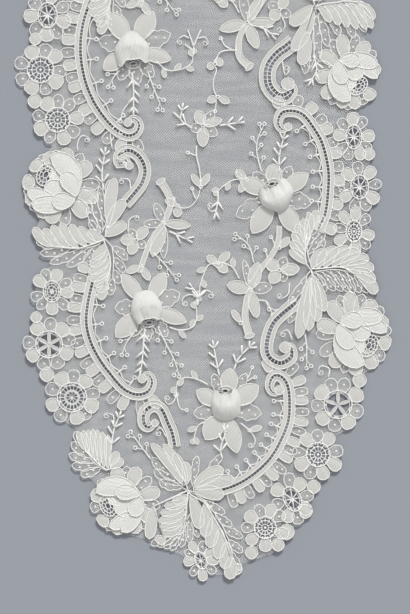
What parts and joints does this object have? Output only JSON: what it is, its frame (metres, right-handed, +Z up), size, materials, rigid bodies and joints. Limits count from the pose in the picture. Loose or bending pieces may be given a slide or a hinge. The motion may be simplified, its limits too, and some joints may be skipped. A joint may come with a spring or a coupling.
{
  "type": "lace mantilla",
  "caption": "Long, narrow lace mantilla with rounded pointed ends, a scalloped flower border, scrolled bands and raised petals, laid out flat.",
  "frame": {"origin": "on the surface that the mantilla lies on, under the middle of its length and width", "axes": "+Y along the mantilla, from the end that the picture shows to the hidden end; +X to the right in the picture; +Z up, out of the lace"},
  "size_m": [0.2674, 1.3688, 0.0102],
  "materials": {
    "lace": "matt ivory cotton thread, open net with dense motifs",
    "raised_petal": "dense matt ivory needle lace",
    "rose_petal": "dense matt ivory needle lace"
  },
  "bodies": {
    "root": {"lace_ground": "lace", "flower_cup_01": "raised_petal", "flower_cup_02": "raised_petal", "flower_cup_03": "raised_petal", "flower_cup_04": "raised_petal", "flower_cup_05": "raised_petal", "flower_cup_06": "raised_petal", "flower_cup_07": "raised_petal", "flower_cup_08": "raised_petal", "flower_cup_09": "raised_petal", "flower_cup_10": "raised_petal", "flower_cup_11": "raised_petal", "flower_cup_12": "raised_petal", "flower_cup_13": "raised_petal", "flower_cup_14": "raised_petal", "rose_petal_01": "rose_petal", "rose_petal_02": "rose_petal", "rose_petal_03": "rose_petal", "rose_petal_04": "rose_petal", "rose_petal_05": "rose_petal", "rose_petal_06": "rose_petal", "rose_petal_07": "rose_petal", "rose_petal_08": "rose_petal", "rose_petal_09": "rose_petal", "rose_petal_10": "rose_petal", "rose_petal_11": "rose_petal", "rose_petal_12": "rose_petal", "rose_petal_13": "rose_petal", "rose_petal_14": "rose_petal"}
  },
  "joints": []
}
